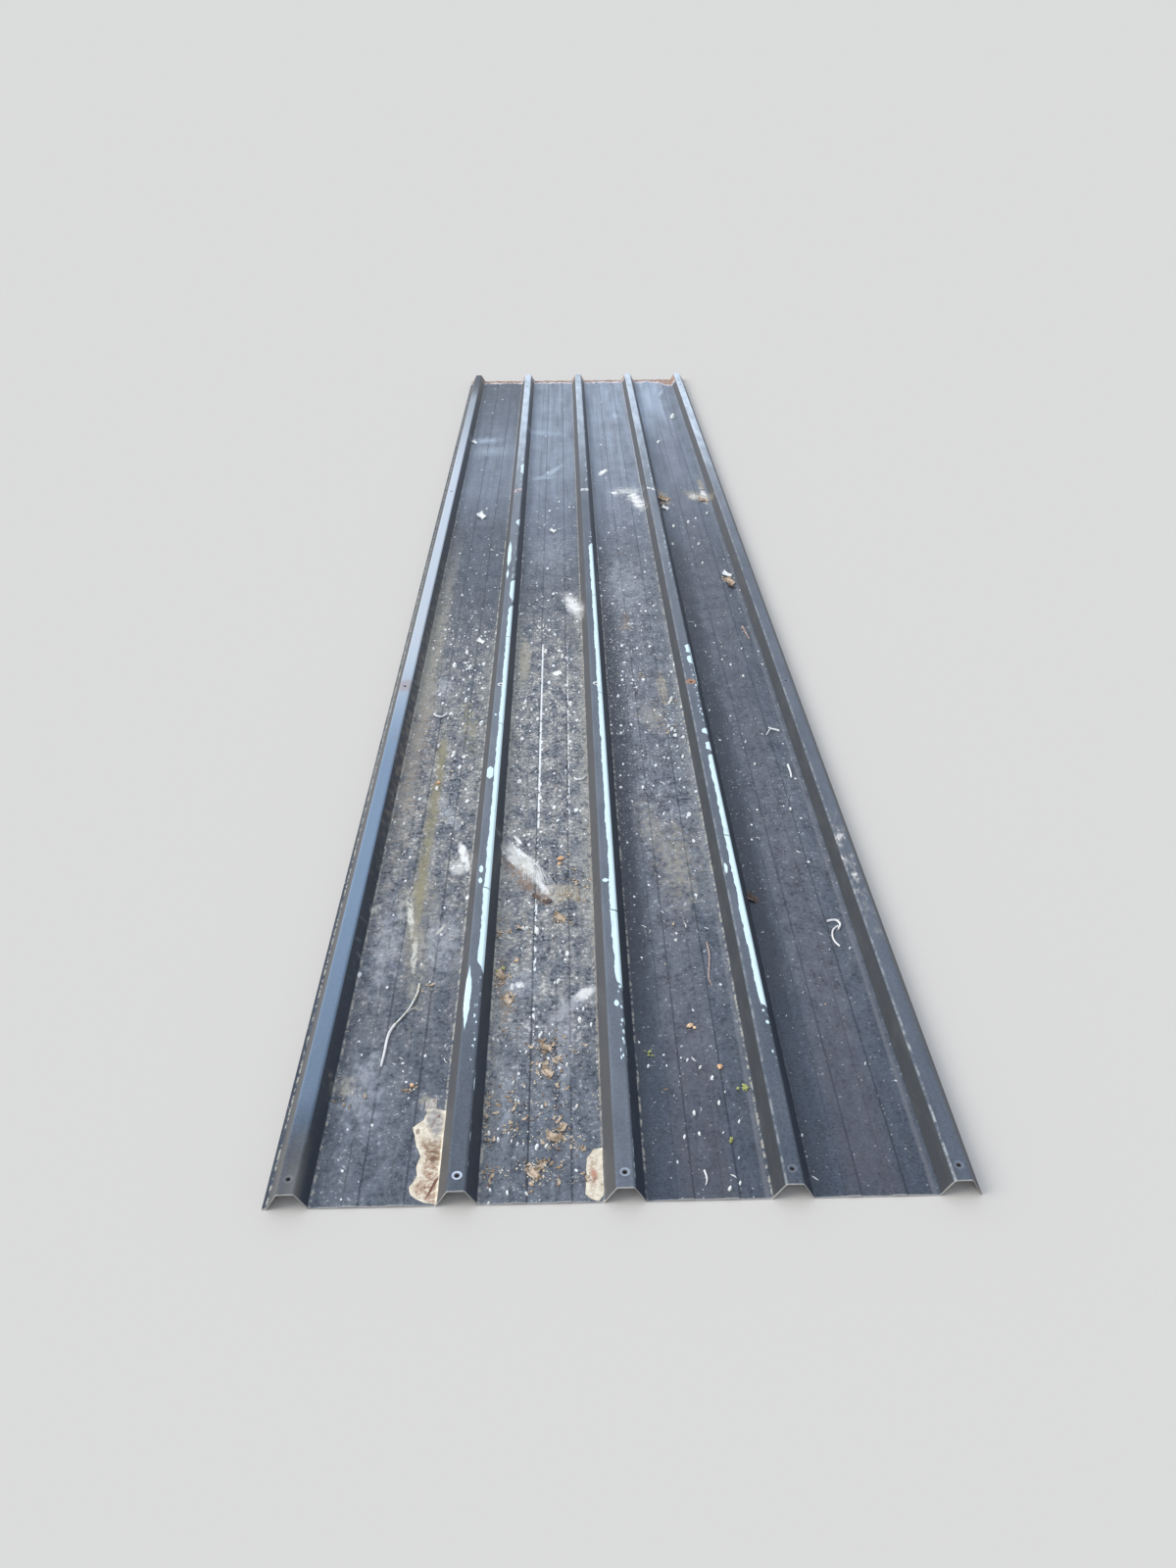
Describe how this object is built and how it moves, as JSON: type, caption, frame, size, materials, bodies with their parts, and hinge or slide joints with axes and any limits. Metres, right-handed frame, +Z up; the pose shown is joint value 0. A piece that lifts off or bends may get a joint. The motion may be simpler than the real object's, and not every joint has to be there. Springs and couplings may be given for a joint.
{
  "type": "corrugated metal sheet",
  "caption": "Long box-profile roofing sheet of coated steel, with trapezoidal ribs, stiffened pans and screw holes through its crowns.",
  "frame": {"origin": "middle of the sheet's footprint, on the surface that it lies on", "axes": "+Y along the ribs, away from the end whose screw row is nearest the edge; +X across the ribs, away from the edge with the lap foot; +Z up, out of the crowns"},
  "size_m": [1.0696, 5, 0.0327],
  "materials": {
    "coated_steel": "slate grey plastic coating, weathered, peeling along the crowns and rusting at the cut ends"
  },
  "bodies": {
    "root": {"roofing_sheet": "coated_steel"}
  },
  "joints": []
}
